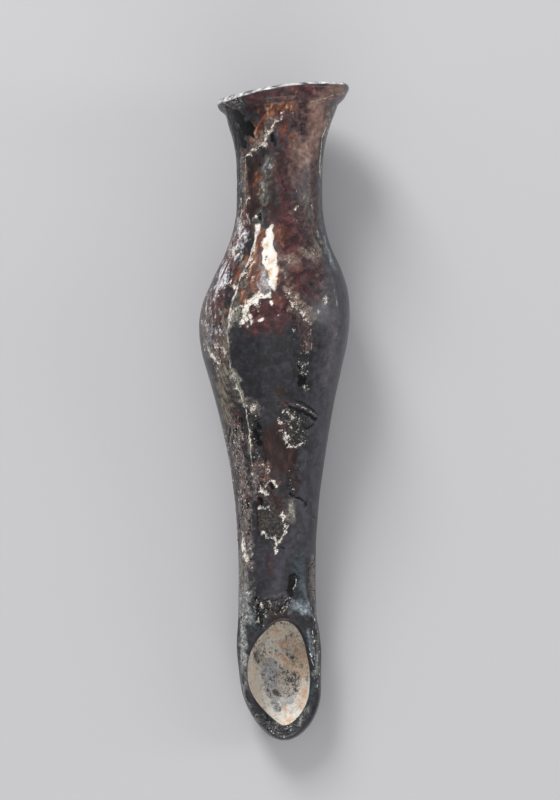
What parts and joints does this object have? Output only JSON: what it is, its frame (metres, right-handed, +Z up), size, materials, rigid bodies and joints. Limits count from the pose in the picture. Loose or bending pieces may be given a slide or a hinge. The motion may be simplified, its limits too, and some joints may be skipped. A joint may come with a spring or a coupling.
{
  "type": "glass medical pipe",
  "caption": "Hand-blown glass medical pipe of weathered antique glass: flared mouth, swollen bulb, long tube and a closed spoon-like end with an oval opening.",
  "frame": {"origin": "middle of the pipe's footprint, on the surface it lies on", "axes": "+Y along the pipe towards the mouth, +Z up out of the oval opening, +X to the right of someone who looks down on it with the mouth away from them"},
  "size_m": [0.0344, 0.1502, 0.0379],
  "materials": {
    "weathered_glass": "satin"
  },
  "bodies": {
    "root": {"pipe": "weathered_glass"}
  },
  "joints": []
}
